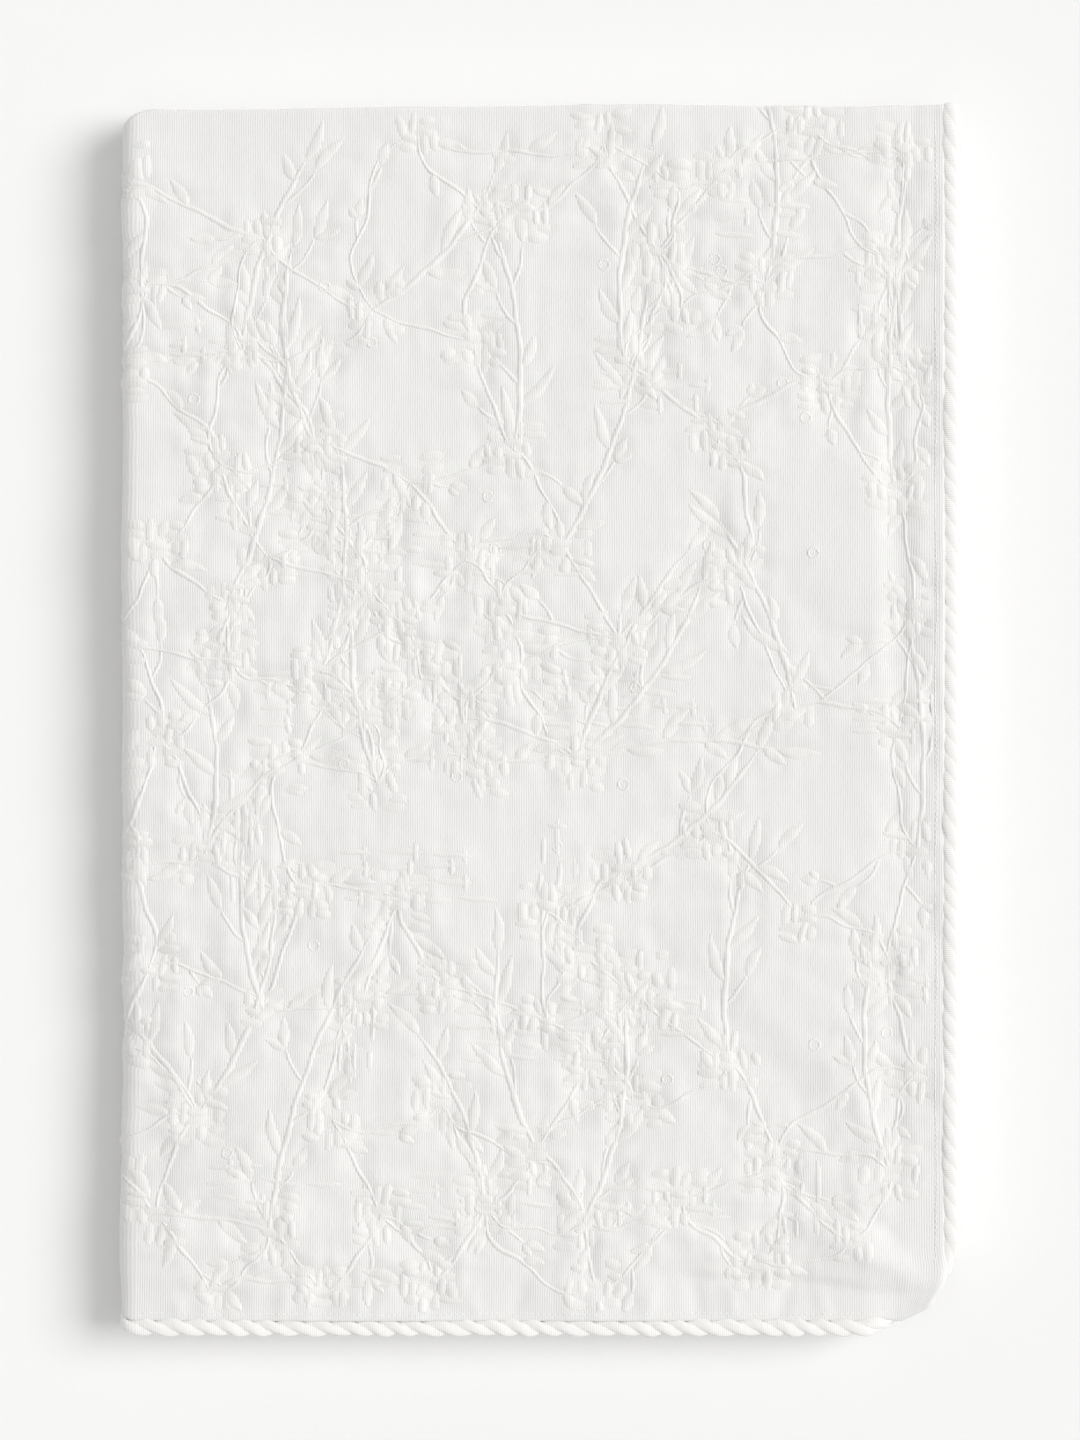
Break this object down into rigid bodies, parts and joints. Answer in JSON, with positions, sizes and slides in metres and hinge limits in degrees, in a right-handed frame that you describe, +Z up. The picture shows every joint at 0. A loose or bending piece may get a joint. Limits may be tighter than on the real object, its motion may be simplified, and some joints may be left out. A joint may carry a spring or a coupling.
{
  "type": "folded bedspread",
  "caption": "Woven cotton bedspread with a raised floral weave, folded back and forth into a flat stack, with a twisted cord sewn along its edges.",
  "frame": {"origin": "middle of the bounding box's underside, where the folded stack rests on the surface", "axes": "+X to the side of the free corded edges, +Y to the side of the long folds, +Z up through the layers"},
  "size_m": [0.4568, 0.6693, 0.0438],
  "materials": {
    "cloth": "white woven cotton with fine ribs and raised floral floats, matte",
    "cord": "white twisted cotton cord, matte"
  },
  "bodies": {
    "root": {"cloth": "cloth", "side_cord_upper": "cord", "side_cord_lower": "cord", "end_cord_upper": "cord", "end_cord_lower": "cord"}
  },
  "joints": []
}
